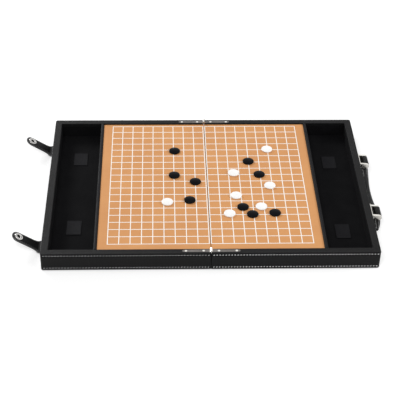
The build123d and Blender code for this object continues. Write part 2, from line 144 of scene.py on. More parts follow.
def feed(tree, shader, colour, roughness, height, relief):
    """Links a finish to the shader: its colour, its roughness and its relief in metres."""
    bump = place(tree, "ShaderNodeBump", {"Height": height, "Distance": relief})
    tree.links.new(colour, shader["Base Color"])
    tree.links.new(roughness, shader["Roughness"])
    tree.links.new(bump.outputs[0], shader["Normal"])


def smooth_over(piece, angle=32):
    """Smooth shading that leaves the real edges sharp."""
    piece.data.shade_smooth()
    piece.data.set_sharp_from_angle(angle=math.radians(angle))


def finish_node(name, material):
    """Dresses a whole node in one material."""
    mesh = nodes[name].data
    mesh.materials.clear()
    mesh.materials.append(material)
    smooth_over(nodes[name])


def plank_grain():
    """Long fibres with darker year lines, drawn out along X."""
    tree, given, result = new_group(
        "Plank grain", {"Fibre Width": 0.0006, "Year Width": 0.006}, ("Fibre", "Year")
    )
    drawn = worked_places(tree, "MULTIPLY", object_place(tree), (0.06, 1.0, 1.0))
    fibre = noise(tree, drawn, one_over(tree, given["Fibre Width"]), 4.0)
    year = noise(tree, drawn, one_over(tree, given["Year Width"]), 2.0)
    lines = worked(tree, "PINGPONG", worked(tree, "MULTIPLY", year, 5.0), 1.0)
    tree.links.new(fibre, result.inputs["Fibre"])
    tree.links.new(lines, result.inputs["Year"])
    return tree


PLANK_GRAIN = plank_grain()


def raw_wood():
    made, tree, shader = new_material("raw wood", 0.3)
    grain = place_group(tree, PLANK_GRAIN)
    colour = mixed(tree, grain["Year"], (0.50, 0.34, 0.19), (0.62, 0.46, 0.29))
    rough = ramp(tree, grain["Fibre"], 0.3, 0.7, 0.55, 0.75)
    feed(tree, shader, colour, rough, grain["Fibre"], 0.00008)
    return made


wood = raw_wood()
for half in HALVES:
    for part in ("front_wall", "rear_wall", "end_wall", "spine_wall", "bottom_panel", "board_supports"):
        finish_node(f"{half}_{part}", wood)


# Black leatherette covers: a thin embossed sheet, glued round the trays. One strip covers the sides
# and turns under, one sheet is let in below, and one strip, a little duller, is folded over the rim.
def embossed_grain():
    """Pressed grain: rounded pebbles, the creases between them as a mask for painted shade, and a slow drift
    of the surface.
    """
    tree, given, result = new_group(
        "Embossed grain", {"Pebble Size": 0.0011, "Drift Size": 0.05}, ("Height", "Crease Shade", "Drift")
    )
    where = object_place(tree)
    wander = place(tree, "ShaderNodeTexNoise", {"Vector": where, "Scale": 700.0, "Detail": 2.0})
    shift = place(
        tree, "ShaderNodeVectorMath", {0: wander.outputs["Color"], "Scale": 0.0005}, operation="SCALE"
    )
    moved = worked_places(tree, "ADD", where, shift.outputs[0])
    pebbles = {"Vector": moved, "Scale": one_over(tree, given["Pebble Size"])}
    cells = place(tree, "ShaderNodeTexVoronoi", pebbles, feature="DISTANCE_TO_EDGE")
    to_edge = cells.outputs["Distance"]
    domes = place(
        tree, "ShaderNodeMapRange", {"Value": to_edge, "From Max": 0.35}, interpolation_type="SMOOTHSTEP"
    )
    drift = noise(tree, where, one_over(tree, given["Drift Size"]), 5.0)
    tree.links.new(domes.outputs[0], result.inputs["Height"])
    tree.links.new(ramp(tree, to_edge, 0.0, 0.15, 1.0, 0.0), result.inputs["Crease Shade"])
    tree.links.new(ramp(tree, drift, 0.3, 0.7), result.inputs["Drift"])
    return tree


EMBOSSED_GRAIN = embossed_grain()


def grained_leather(name, colour, worn, pebble, relief, roughness, specular):
    """Leather or leatherette: a drift between two near colours, painted shade in the creases, an uneven
    sheen.
    """
    made, tree, shader = new_material(name, specular)
    grain = place_group(tree, EMBOSSED_GRAIN, Pebble_Size=pebble)
    face = mixed(tree, grain["Drift"], colour, worn)
    # Painted shade: the creases are darkened to four tenths of the colour.
    shade = mixed(tree, grain["Crease Shade"], face, [0.4 * part for part in colour])
    rough = ramp(tree, grain["Drift"], 0.0, 1.0, roughness - 0.05, roughness + 0.07)
    feed(tree, shader, shade, rough, grain["Height"], relief)
    return made


cover_grain = ((0.0078, 0.0078, 0.0083), (0.0096, 0.0096, 0.0100), 0.0011, 0.00009)
black_leatherette = grained_leather("black leatherette", *cover_grain, 0.50, 0.20)
rim_leatherette = grained_leather("rim leatherette", *cover_grain, 0.52, 0.12)
for half in HALVES:
    for cover in ("side_leather", "bottom_leather"):
        finish_node(f"{half}_{cover}", black_leatherette)
    finish_node(f"{half}_rim_leather", rim_leatherette)


# Stitching. Two rows of thick waxed thread run round the outer walls, one under the rim and one
# above the bottom edge. Each stitch slants a little and dives into its needle holes. The thread of
# the right half is cleaner and a little thicker.
stitch_pitch = 4.02 * mm
stitch_length = 2.25 * mm
length_spread = (0.94, 1.04)
stitch_slant = math.radians(17)
slant_spread = 0.05
thread_radius = {"left": 0.46 * mm, "right": 0.54 * mm}
thread_lift = 0.35
thread_dive = 1.5
thread_end = 0.12
row_heights = (25.0 * mm, 4.0 * mm)
row_margin = 2.2 * mm
seam_margin = 1.2 * mm


def finish_piece(piece, material, body=None, replaced=()):
    """A modelled piece with its material, the body that it rides on and what it stands for."""
    piece.data.materials.append(material)
    if body:
        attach(piece, body)
    if replaced:
        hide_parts(*replaced)
    return piece


def new_piece(name, points, faces):
    mesh = bpy.data.meshes.new(name)
    mesh.from_pydata(points, [], faces)
    piece = bpy.data.objects.new(name, mesh)
    bpy.context.scene.collection.objects.link(piece)
    return piece


def tube_faces(faces, first, rings, size):
    """The walls between rings of points that follow each other from the first point on."""
    for start in range(first, first + (rings - 1) * size, size):
        for side in range(size):
            a, b = start + side, start + (side + 1) % size
            faces.append((a, b, b + size, a + size))


def add_stitch(points, faces, centre, along, outward, length, radius, proud=0.9, rings=7, sides=6):
    """One stitch as a short thread: it stands proud in its middle and its ends dive in."""
    beside = along.cross(outward)
    first = len(points)
    for ring in range(rings):
        share = 2 * ring / (rings - 1) - 1
        width = radius * math.sqrt(max(1 - share**6, thread_end))
        lift = radius * (proud - thread_dive * share**4)
        middle = centre + along * (share * length / 2) + outward * lift
        for side in range(sides):
            turn = 2 * math.pi * side / sides
            points.append(middle + (beside * math.cos(turn) + outward * math.sin(turn)) * width)
    tube_faces(faces, first, rings, sides)
    last = first + (rings - 1) * sides
    faces.append(tuple(range(first, first + sides))[::-1])
    faces.append(tuple(range(last, last + sides)))


def stitch_line(points, faces, start, stop, outward, radius, draw):
    """A row of stitches from one point to another on a flat wall."""
    run = stop - start
    count = round(run.length / stitch_pitch)
    along = run.normalized()
    for number in range(count):
        centre = start + run * ((number + 0.5) / count)
        tilt = Matrix.Rotation(stitch_slant + draw.uniform(-slant_spread, slant_spread), 3, outward)
        length = stitch_length * draw.uniform(*length_spread)
        add_stitch(points, faces, centre, tilt @ along, outward, length, radius, thread_lift)


def plain_thread(name, clean, soiled):
    """Waxed thread: the turns of its plies, cleaner and more soiled stretches."""
    made, tree, shader = new_material(name, 0.4)
    where = object_place(tree)
    soil = noise(tree, where, 60.0, 3.0)
    turned = place(tree, "ShaderNodeMapping", {"Vector": where, "Rotation": (0.5, 0.7, 0.6)}).outputs[0]
    plies = place(tree, "ShaderNodeTexWave", {"Vector": turned, "Scale": 520.0, "Distortion": 0.5})
    colour = mixed(tree, ramp(tree, soil, 0.35, 0.7), clean, soiled)
    rough = ramp(tree, plies.outputs["Fac"], 0.0, 1.0, 0.62, 0.5)
    feed(tree, shader, colour, rough, plies.outputs["Fac"], 0.00008)
    return made


threads = {
    "left": plain_thread("soiled waxed thread", (0.76, 0.76, 0.77), (0.44, 0.44, 0.45)),
    "right": plain_thread("white waxed thread", (0.95, 0.95, 0.95), (0.74, 0.74, 0.74)),
}
draw = random.Random(11)
for half, side in HALVES.items():
    low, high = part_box(f"{half}_side_leather")
    near, far = (low.x, high.x)[::side]
    points, faces = [], []
    for height in row_heights:
        for wall, way in ((low.y, -1), (high.y, 1)):
            reaches = sorted((near + side * seam_margin, far - side * row_margin), reverse=way > 0)
            ends = [Vector((x, wall, height)) for x in reaches]
            stitch_line(points, faces, *ends, Vector((0, way, 0)), thread_radius[half], draw)
        reach = side * (high.y - row_margin)
        ends = [Vector((far, y, height)) for y in (-reach, reach)]
        stitch_line(points, faces, *ends, Vector((side, 0, 0)), thread_radius[half], draw)
    stitches = new_piece(f"{half}_stitches", points, faces)
    stitches.data.shade_smooth()
    finish_piece(stitches, threads[half], f"{half}_half")


# Compartments. Each has a black flocked cloth lining on its floor and walls, and two patches of
# woven hook tape on the floor that keep the stone bags in their place.
def flocked_cloth():
    made, tree, shader = new_material("flocked lining", 0.06)
    where = object_place(tree)
    pile = noise(tree, where, 2600.0, 3.0)
    brushed = noise(tree, where, 45.0, 5.0)
    tone = mixed(tree, ramp(tree, brushed, 0.35, 0.65), (0.0034, 0.0034, 0.0040), (0.0058, 0.0058, 0.0064))
    colour = mixed(tree, ramp(tree, pile, 0.4, 0.75), tone, (0.0085, 0.0085, 0.0092))
    rough = ramp(tree, pile, 0.3, 0.7, 0.85, 0.97)
    feed(tree, shader, colour, rough, pile, 0.00025)
    return made


def hook_tape():
    """Nylon tape: a plain weave in fine rows, a little blue beside the cloth."""
    made, tree, shader = new_material("hook tape", 0.12)
    where = object_place(tree)
    waves = []
    for way, scale in (("X", 330.0), ("Y", 210.0)):
        wave = place(tree, "ShaderNodeTexWave", {"Vector": where, "Scale": scale}, bands_direction=way)
        waves.append(wave.outputs["Fac"])
    weave = worked(tree, "MAXIMUM", *waves)
    colour = mixed(tree, weave, (0.0028, 0.0028, 0.0037), (0.0068, 0.0067, 0.0084))
    rough = ramp(tree, weave, 0.0, 1.0, 0.8, 0.65)
    feed(tree, shader, colour, rough, weave, 0.0002)
    return made


lining = flocked_cloth()
tape = hook_tape()
for half in HALVES:
    finish_node(f"{half}_tray_lining", lining)
    finish_node(f"{half}_hook_patches", tape)


# Dividers. A thin wooden bar stands between compartment and board in each half. It is wrapped in
# leatherette with a finer grain than that of the covers.
divider_leatherette = grained_leather(
    "divider leatherette", (0.0062, 0.0062, 0.0072), (0.0088, 0.0088, 0.0098), 0.0008, 0.00007, 0.52, 0.10
)
for half in HALVES:
    finish_node(f"{half}_divider", divider_leatherette)


# Board. Each half is a thin panel with a satin orange-tan face, a steel sheet glued below it, and
# the lines of the grid printed on it in thick white ink.
def board_face():
    made, tree, shader = new_material("board face", 0.20)
    grain = place_group(tree, PLANK_GRAIN, Fibre_Width=0.0009, Year_Width=0.03)
    where = object_place(tree)
    cloud = noise(tree, where, 22.0, 4.0)
    wash = mixed(tree, ramp(tree, cloud, 0.3, 0.7), (0.605, 0.284, 0.110), (0.661, 0.323, 0.126))
    colour = mixed(tree, ramp(tree, grain["Fibre"], 0.35, 0.75, 0.0, 0.35), wash, (0.553, 0.252, 0.094))
    rough = ramp(tree, cloud, 0.3, 0.7, 0.42, 0.52)
    feed(tree, shader, colour, rough, grain["Fibre"], 0.00002)
    return made


def grid_ink():
    made, tree, shader = new_material("grid ink", 0.4)
    where = object_place(tree)
    wear = noise(tree, where, 900.0, 4.0)
    colour = mixed(tree, ramp(tree, wear, 0.45, 0.75), (0.93, 0.91, 0.87), (0.84, 0.76, 0.66))
    rough = ramp(tree, wear, 0.0, 1.0, 0.4, 0.55)
    feed(tree, shader, colour, rough, wear, 0.00002)
    return made


def scratched_metal():
    """Fine scratches in all directions and the smudges of hands."""
    tree, given, result = new_group(
        "Fine scratches", {"Scratch Length": 0.004, "Smudge Size": 0.012}, ("Scratch", "Smudge")
    )
    where = object_place(tree)
    scale = one_over(tree, given["Scratch Length"])
    strokes = []
    for turn in (0.3, 1.5, 2.5):
        turned = place(tree, "ShaderNodeMapping", {"Vector": where, "Rotation": (turn, turn / 2, turn)})
        drawn = worked_places(tree, "MULTIPLY", turned.outputs[0], (1.0, 14.0, 14.0))
        strokes.append(ramp(tree, noise(tree, drawn, scale, 2.0), 0.62, 0.70))
    every = worked(tree, "MAXIMUM", worked(tree, "MAXIMUM", strokes[0], strokes[1]), strokes[2])
    smudge = noise(tree, where, one_over(tree, given["Smudge Size"]), 4.0)
    tree.links.new(every, result.inputs["Scratch"])
    tree.links.new(ramp(tree, smudge, 0.35, 0.65), result.inputs["Smudge"])
    return tree


FINE_SCRATCHES = scratched_metal()


def metal(name, colour, dulled, roughness):
    """Plated or bare metal, duller and rougher where it is smudged, brighter in its scratches."""
    made, tree, shader = new_material(name)
    shader["Metallic"].default_value = 1.0
    marks = place_group(tree, FINE_SCRATCHES)
    tone = mixed(tree, marks["Smudge"], colour, dulled)
    worn = mixed(tree, marks["Scratch"], tone, [min(1.0, 1.25 * part) for part in colour])
    rough = ramp(tree, marks["Smudge"], 0.0, 1.0, roughness, roughness + 0.14)
    feed(tree, shader, worn, rough, marks["Scratch"], 0.00001)
    return made


satin_board = board_face()
white_ink = grid_ink()
bare_steel = metal("bare steel", (0.42, 0.43, 0.45), (0.33, 0.33, 0.35), 0.35)
for half in HALVES:
    finish_node(f"{half}_board", satin_board)
    finish_node(f"{half}_steel_sheet", bare_steel)


# Grid. Nineteen lines each way in thick white ink. The middle one is printed on both halves, close
# beside the seam, so each half has ten and the squares keep their size across it.
line_width = 1.2 * mm
first_line = {"left": 1.9 * mm, "right": 1.0 * mm}
line_count = 19
half_count = 10


def printed_grid(half, side):
    low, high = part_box(f"{half}_grid")
    reach = max(abs(low.x), abs(high.x)) - line_width / 2
    first, run = first_line[half], reach - first_line[half]
    across = [side * (first + run * step / (half_count - 1)) for step in range(half_count)]
    front, depth = low.y + line_width / 2, high.y - low.y - line_width
    up = [front + depth * step / (line_count - 1) for step in range(line_count)]
    breaks = []
    for centres in (across, up):
        breaks.append(sorted(centre + edge * line_width / 2 for centre in centres for edge in (-1, 1)))
    columns, rows = len(breaks[0]), len(breaks[1])
    points = [Vector((x, y, z)) for z in (low.z, high.z) for y in breaks[1] for x in breaks[0]]
    level = columns * rows

    def inked(column, row):
        inside = 0 <= column < columns - 1 and 0 <= row < rows - 1
        return inside and (column % 2 == 0 or row % 2 == 0)

    faces = []
    for row in range(rows - 1):
        for column in range(columns - 1):
            if not inked(column, row):
                continue
            a = row * columns + column
            ring = (a, a + 1, a + 1 + columns, a + columns)
            faces.append(tuple(corner + level for corner in ring))
            faces.append(ring[::-1])
            beyond = ((column, row - 1), (column + 1, row), (column, row + 1), (column - 1, row))
            for number, cell in enumerate(beyond):
                if not inked(*cell):
                    b, c = ring[number], ring[(number + 1) % 4]
                    faces.append((b, c, c + level, b + level))
    lines = new_piece(f"{half}_printed_lines", points, faces)
    shape = bmesh.new()
    shape.from_mesh(lines.data)
    unused = [point for point in shape.verts if not point.link_faces]
    bmesh.ops.delete(shape, geom=unused, context="VERTS")
    shape.to_mesh(lines.data)
    shape.free()
    finish_piece(lines, white_ink, f"{half}_half", [f"{half}_grid"])


for half, side in HALVES.items():
    printed_grid(half, side)


# Hinges. Two small hinges of plated steel are let into the rims at the seam: a pointed leaf on each
# half, three knuckles on one pin, and countersunk screws. The leaves are a dark copy of the plate, a
# painted dark reflection; the screw heads and the front barrel are bright, painted highlights; the
# rear barrel is a dimmer copy of the plate, painted shade.
dark_reflection_plate = metal("plate with painted dark reflection", (0.20, 0.185, 0.175), (0.13, 0.122, 0.115), 0.34)
bright_plate = metal("bright plated metal", (0.88, 0.86, 0.81), (0.74, 0.71, 0.65), 0.16)
rear_barrel_shade = metal("barrel plate with painted shade", (0.50, 0.48, 0.45), (0.36, 0.34, 0.31), 0.3)
# Painted highlight on the front barrel and painted shade on the rear one: two copies of one plate.
barrel_light_and_shade = {"front": bright_plate, "rear": rear_barrel_shade}
knuckle_reach = 2.05 * mm
for end in ENDS:
    finish_node(f"{end}_hinge_pin", barrel_light_and_shade[end])
    for half in HALVES:
        finish_node(f"{half}_{end}_hinge_leaf", dark_reflection_plate)
        leaf = nodes[f"{half}_{end}_hinge_leaf"].data
        leaf.materials.append(barrel_light_and_shade[end])
        # The knuckle faces take the barrel's painted highlight or painted shade.
        for face in leaf.polygons:
            face.material_index = int(abs(face.center.x) < knuckle_reach)
for half in HALVES:
    # The screw heads are painted bright as a painted glint.
    finish_node(f"{half}_hinge_screws", bright_plate)


# Stones. Polished discs with a flat foot, a low edge with a rounded shoulder and a domed top. Nine
# black and seven white ones lie near the crossings of the grid, as a hand puts them down.
def arc(centre, radius, start, stop, steps):
    """Points of a profile along an arc, from one angle to another, in degrees."""
    points = []
    for step in range(steps + 1):
        angle = math.radians(start + (stop - start) * step / steps)
        points.append((centre[0] + radius * math.cos(angle), centre[1] + radius * math.sin(angle)))
    return points


def add_turned(points, faces, profile, seat, sides=48):
    """A turned form: the profile's (radius, height) points revolved on the axis of its seat."""
    rings = []
    for radius, height in profile:
        if radius < 1e-7:
            rings.append([len(points)])
            points.append(seat @ Vector((0, 0, height)))
            continue
        rings.append(list(range(len(points), len(points) + sides)))
        for side in range(sides):
            turn = 2 * math.pi * side / sides
            points.append(seat @ Vector((radius * math.cos(turn), radius * math.sin(turn), height)))
    for lower, upper in zip(rings, rings[1:]):
        for side in range(sides):
            after = (side + 1) % sides
            if len(lower) == 1:
                faces.append((lower[0], upper[after], upper[side])[::-1])
            elif len(upper) == 1:
                faces.append((lower[side], lower[after], upper[0]))
            else:
                faces.append((lower[side], lower[after], upper[after], upper[side]))


def face_outward(piece):
    """Merges doubled points and turns every face outward."""
    shape = bmesh.new()
    shape.from_mesh(piece.data)
    bmesh.ops.remove_doubles(shape, verts=shape.verts, dist=1e-6)
    bmesh.ops.dissolve_degenerate(shape, edges=shape.edges, dist=1e-7)
    bmesh.ops.recalc_face_normals(shape, faces=shape.faces)
    shape.to_mesh(piece.data)
    shape.free()


def polished(name, colour, cloud_colour, roughness, specular):
    made, tree, shader = new_material(name, specular)
    where = object_place(tree)
    cloud = noise(tree, where, 180.0, 4.0)
    tone = mixed(tree, ramp(tree, cloud, 0.35, 0.7), colour, cloud_colour)
    rough = ramp(tree, cloud, 0.3, 0.7, roughness, roughness + 0.08)
    feed(tree, shader, tone, rough, cloud, 0.00001)
    return made


stone_finish = {
    "black": polished("black stone", (0.0028, 0.0030, 0.0040), (0.0045, 0.0047, 0.0058), 0.09, 0.05),
    "white": polished("white stone", (0.95, 0.945, 0.935), (0.90, 0.895, 0.88), 0.2, 0.5),
}


def islands(node):
    """The boxes of the separate solids of a node, each as its lowest and highest corner."""
    shape = bmesh.new()
    shape.from_mesh(nodes[node].data)
    bmesh.ops.remove_doubles(shape, verts=shape.verts, dist=1e-6)
    left = set(shape.verts)
    boxes = []
    while left:
        wave = [left.pop()]
        corner_low, corner_high = wave[0].co.copy(), wave[0].co.copy()
        while wave:
            point = wave.pop()
            corner_low = Vector(map(min, corner_low, point.co))
            corner_high = Vector(map(max, corner_high, point.co))
            for edge in point.link_edges:
                other = edge.other_vert(point)
                if other in left:
                    left.remove(other)
                    wave.append(other)
        boxes.append((corner_low, corner_high))
    shape.free()
    return sorted(boxes, key=lambda box: tuple(round(part, 5) for part in box[0]))


foot_round = 0.4 * mm
shoulder_round = 0.5 * mm
shoulder_sink = 0.6
stone_edge = 1.5 * mm
for half in HALVES:
    for shade, finish in stone_finish.items():
        points, faces = [], []
        for low, high in islands(f"{half}_{shade}_stones"):
            radius = (high.x - low.x) / 2
            height = high.z - low.z
            sag = height - stone_edge
            dome = (radius**2 + sag**2) / (2 * sag)
            reach = math.degrees(math.asin((radius - shoulder_round) / dome))
            shoulder = (radius - shoulder_round, stone_edge - shoulder_round * shoulder_sink)
            profile = [(0.0, 0.0)]
            profile += arc((radius - foot_round, foot_round), foot_round, -90, 0, 5)
            profile += arc(shoulder, shoulder_round, 0, 60, 5)
            profile += arc((0, height - dome), dome, 90 - reach, 90, 18)
            profile[-1] = (0.0, height)
            seat = Matrix.Translation(((low.x + high.x) / 2, (low.y + high.y) / 2, low.z))
            add_turned(points, faces, profile, seat)
        stones = new_piece(f"{half}_{shade}_stone_set", points, faces)
        face_outward(stones)
        smooth_over(stones, 60)
        finish_piece(stones, finish, f"{half}_half", [f"{half}_{shade}_stones"])


# Snap straps. Two plies of black leather, pressed and stitched round the edge, which is painted a
# light grey that is partly a painted highlight of the rounded edge. Each comes out of a slot at the
# foot of the left wall, flares there and bends up to its round tip.
strap_bend_radius = 5.0 * mm
strap_slope = math.radians(33.5)
strap_straight = 39.2 * mm
strap_root_run = 3.8 * mm
strap_tip_half = 9.0 * mm
strap_flare = 10.9 * mm
strap_steps = 60
tip_steps = 14
seam_steps = 40
seam_inset = 1.9 * mm
seam_pitch = 2.7 * mm
seam_stitch = 2.1 * mm
seam_height = 1.18 * mm
strap_thread_radius = 0.24 * mm
band_edge = ((0.0, 0.0), (0.12, 0.62), (0.45, 1.06), (0.95, 1.27))
band_edge += ((1.65, 1.30), (2.0, 1.16), (2.35, 1.30), (3.6, 1.36))
paint_and_highlight_faces = 2


def strap_line(start, foot, end_straight):
    """The strap's middle line in its own plane: flat out of the slot, a bend up, then straight."""

    def at(along):
        if along < end_straight:
            return start - along, foot, 0.0
        turn = min((along - end_straight) / strap_bend_radius, strap_slope)
        rest = along - end_straight - turn * strap_bend_radius
        x = start - end_straight - strap_bend_radius * math.sin(turn) - rest * math.cos(turn)
        z = foot + strap_bend_radius * (1 - math.cos(turn)) + rest * math.sin(turn)
        return x, z, turn

    return at


def strap_half_width(along, bend_start, root_half):
    """Half the strap's width: the flare of its root runs out in an arc."""
    step = root_half - strap_tip_half
    radius = (strap_flare**2 + step**2) / (2 * step)
    left = min(max(strap_flare - (along - bend_start), 0.0), strap_flare)
    return strap_tip_half + radius - math.sqrt(radius**2 - left**2)


def joint_place(name):
    return next(joint["pos_m"] for joint in frame["joints"] if joint["name"] == name)


def even_steps(route, pitch):
    """Places at even steps along a route of flat points, each with its direction."""
    places = []
    left = pitch / 2
    for a, b in zip(route, route[1:]):
        run = math.dist(a, b)
        way = ((b[0] - a[0]) / run, (b[1] - a[1]) / run)
        while left <= run:
            places.append((a[0] + way[0] * left, a[1] + way[1] * left, way))
            left += pitch
        left -= run
    return places


def edge_finish_with_highlight():
    made, tree, shader = new_material("leather edge paint with painted highlight", 0.4)
    where = object_place(tree)
    wear = noise(tree, where, 400.0, 3.0)
    # Partly a painted highlight: the edge paint is a light grey that also stands for the light on the
    # rounded edge.
    colour = mixed(tree, ramp(tree, wear, 0.4, 0.7), (0.060, 0.060, 0.061), (0.090, 0.090, 0.091))
    rough = ramp(tree, wear, 0.3, 0.7, 0.35, 0.5)
    feed(tree, shader, colour, rough, wear, 0.00003)
    return made


strap_leather = grained_leather(
    "strap leather", (0.0035, 0.0035, 0.0040), (0.0055, 0.0055, 0.0060), 0.0009, 0.00006, 0.42, 0.14
)
edge_colour_and_highlight = edge_finish_with_highlight()
strap_thread = plain_thread("grey strap thread", (0.26, 0.26, 0.26), (0.14, 0.14, 0.14))
for end, way in ENDS.items():
    low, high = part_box(f"{end}_strap")
    axis_x, _, foot = joint_place(f"{end}_strap_bend")
    start = next(box[1].x for box in islands("strap_roots") if (box[0].y + box[1].y) * way > 0)
    bend_start = start - (axis_x - strap_root_run)
    middle = (low.y + high.y) / 2
    root_half = (high.y - low.y) / 2
    line = strap_line(start, foot, bend_start)
    tip_centre = bend_start + strap_bend_radius * strap_slope + strap_straight - strap_tip_half

    def on_band(along, across, height):
        x, z, lean = line(along)
        return Vector((x + math.sin(lean) * height, middle + across, z + math.cos(lean) * height))

    rings = []
    stations = [(tip_centre * step / strap_steps, 90.0) for step in range(strap_steps)]
    stations += [(tip_centre, 90 - 90 * step / tip_steps) for step in range(tip_steps + 1)]
    order = [(inset, height, -1) for inset, height in band_edge]
    order += [(inset, height, 1) for inset, height in band_edge[::-1]]
    for along, turn in stations:
        turn = math.radians(turn)
        half_here = strap_half_width(along, bend_start, root_half)
        ring = []
        for face, edge in ((1, order), (-1, order[::-1][1:-1])):
            for inset, height, side in edge:
                reach = half_here - inset * mm
                ahead, beside = reach * math.cos(turn), side * reach * math.sin(turn)
                ring.append(on_band(along + ahead, beside, face * height * mm))
        rings.append(ring)
    points = [point for ring in rings for point in ring]
    size = len(rings[0])
    faces = [tuple(range(size))[::-1]]
    tube_faces(faces, 0, len(rings), size)
    band_faces = len(faces)
    seam_run = tip_centre - bend_start
    stops = [bend_start + seam_run * step / seam_steps for step in range(seam_steps + 1)]
    sides = [(stop, strap_half_width(stop, bend_start, root_half) - seam_inset) for stop in stops]
    round_tip = arc((tip_centre, 0.0), strap_tip_half - seam_inset, 90, -90, 24)
    route = sides + round_tip[1:-1] + [(along, -across) for along, across in sides[::-1]]
    for along, across, way_here in even_steps(route, seam_pitch):
        for face in (1, -1):
            centre = on_band(along, across, face * seam_height)
            ahead = on_band(along + way_here[0] * mm, across + way_here[1] * mm, face * seam_height)
            out = on_band(along, across, face * (seam_height + mm)) - centre
            ways = (ahead - centre).normalized(), out.normalized()
            add_stitch(points, faces, centre, *ways, seam_stitch, strap_thread_radius)
    strap = new_piece(f"{end}_strap_leather", points, faces)
    strap.data.shade_smooth()
    for material in (strap_leather, edge_colour_and_highlight, strap_thread):
        strap.data.materials.append(material)
    far_edge = 2 * len(band_edge) - 1
    for number, face in enumerate(strap.data.polygons):
        side = (number - 1) % size
        from_edge = min(side, size - 1 - side, abs(side + 0.5 - far_edge))
        if number >= band_faces:
            face.material_index = 2
        elif number and from_edge < paint_and_highlight_faces:
            face.material_index = 1
    face_outward(strap)
    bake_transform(strap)
    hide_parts(f"{end}_strap", "strap_roots")


# Snaps. Each strap holds a rolled socket ring with a dark throat on the face that meets the stud,
# and a domed cap on its other face. The studs sit on the right end wall.
def seat_on(normal, point):
    """A seat whose axis points along the normal."""
    return Matrix.Translation(point) @ normal.to_track_quat("Z", "Y").to_matrix().to_4x4()


def plate_turned(name, profile, seats, material, body, replaced):
    """A plated form of a profile in millimetres, once on each seat."""
    points, faces = [], []
    for seat in seats:
        add_turned(points, faces, [(radius * mm, height * mm) for radius, height in profile], seat)
    piece = new_piece(name, points, faces)
    face_outward(piece)
    smooth_over(piece, 50)
    finish_piece(piece, material, body, replaced)


# Painted dark reflection: the socket ring's plate is a darker copy of the cap's, so that only the lamps'
# highlights show bright on it.
snap_ring_shade_plate = metal("snap plate with painted dark reflection", (0.62, 0.61, 0.59), (0.48, 0.47, 0.46), 0.14)
socket_profile = [(0.0, -0.75), (2.3, -0.75), (2.3, -0.5), (2.9, -0.3), (2.9, 0.35)]
socket_profile += arc((3.45, 0.55), 0.5, 180, 60, 6) + [(4.3, 0.72), (4.8, 0.78)]
socket_profile += arc((5.6, 0.38), 0.72, 120, -25, 9) + [(6.2, 0.0), (6.1, -0.05)]
socket_profile += [(3.3, -0.05), (3.3, -0.8), (0.0, -0.8)]
cap_profile = [(0.0, 0.0), (6.5, 0.0)] + arc((6.3, 0.4), 0.45, -60, 60, 6)
cap_profile += [(6.0, 0.86), (5.0, 1.12), (3.6, 1.36), (1.8, 1.5), (0.0, 1.55)]
stud_profile = [(0.0, 0.0), (4.4, 0.0)] + arc((4.15, 0.35), 0.35, -60, 80, 6)
stud_profile += [(3.2, 0.75), (2.2, 0.8), (1.9, 1.05), (1.95, 1.3)]
stud_profile += arc((1.7, 1.5), 0.55, -20, 80, 7) + [(1.0, 2.1), (0.0, 2.12)]
socket_height = 1.1 * mm
strap_half = 1.3 * mm
normal = Vector((math.sin(strap_slope), 0, math.cos(strap_slope)))
for end in ENDS:
    socket = nodes[f"{end}_snap_socket"].data.vertices
    top = max(point.co.dot(normal) for point in socket)
    centre = Vector([sum(point.co[axis] for point in socket) / len(socket) for axis in range(3)])
    on_face = centre + normal * (top - socket_height - centre.dot(normal))
    below = on_face - normal * 2 * strap_half
    snaps = (
        ("ring", socket_profile, seat_on(normal, on_face), snap_ring_shade_plate, "socket"),
        ("button", cap_profile, seat_on(-normal, below), bright_plate, "cap"),
    )
    for name, profile, seat, plate, node in snaps:
        replaced = [f"{end}_snap_{node}"]
        plate_turned(f"{end}_snap_{name}", profile, [seat], plate, f"{end}_closure", replaced)

wall_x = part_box("right_side_leather")[1].x


def wall_seats(node, proud=0.0):
    """Seats on the right end wall at the middles of a node's solids, with axes that point out."""
    middles = [(low + high) / 2 for low, high in islands(node)]
    return [seat_on(Vector((1, 0, 0)), Vector((wall_x + proud, spot.y, spot.z))) for spot in middles]


stud_seats = wall_seats("snap_studs")
plate_turned("snap_stud_set", stud_profile, stud_seats, bright_plate, "right_half", ["snap_studs"])


# Handle brackets. Cast and plated: a plate on the wall, two legs that grow wider towards it, and the
# bar that the handle turns on. Slotted screws with oval heads hold each plate to the wall.
leg_radius = 4.0 * mm
leg_root_up = 4.9 * mm
leg_root_down = 4.3 * mm
leg_width = 3.2 * mm
root_clearance = 0.4 * mm
plate_thickness = 1.6 * mm
plate_rise = 14.0 * mm
bar_radius = 2.0 * mm
cast_round = 0.45 * mm
quarters = ((1, 1), (-1, 1), (-1, -1), (1, -1))


def outline_rounded(width, height, radius, steps=5):
    """A rectangle's outline with round corners."""
    points = []
    for number, (right, up) in enumerate(quarters):
        centre = (right * (width / 2 - radius), up * (height / 2 - radius))
        points += arc(centre, radius, 90 * number, 90 * number + 90, steps)
    return points


def add_slab(points, faces, outline, start, stop, seat):
    """An outline in the seat's plane, carried along the seat's axis."""
    first = len(points)
    size = len(outline)
    for height in (start, stop):
        points.extend(seat @ Vector((across, up, height)) for across, up in outline)
    for number in range(size):
        after = (number + 1) % size
        faces.append((first + number, first + after, first + size + after, first + size + number))
    faces.append(tuple(range(first, first + size))[::-1])
    faces.append(tuple(range(first + size, first + 2 * size)))


def round_edges(piece, width, segments=2, angle=35):
    """Rounds the edges by a bevel, which is then part of the mesh."""
    bevel = piece.modifiers.new("bevel", "BEVEL")
    bevel.width = width
    bevel.segments = segments
    bevel.limit_method = "ANGLE"
    bevel.angle_limit = math.radians(angle)
    bevel.harden_normals = False
    apply_all(piece)


def apply_all(piece):
    """Replaces the mesh by the one that the modifiers make of it."""
    bpy.context.view_layer.update()
    seen = piece.evaluated_get(bpy.context.evaluated_depsgraph_get())
    mesh = bpy.data.meshes.new_from_object(seen)
    piece.modifiers.clear()
    piece.data = mesh


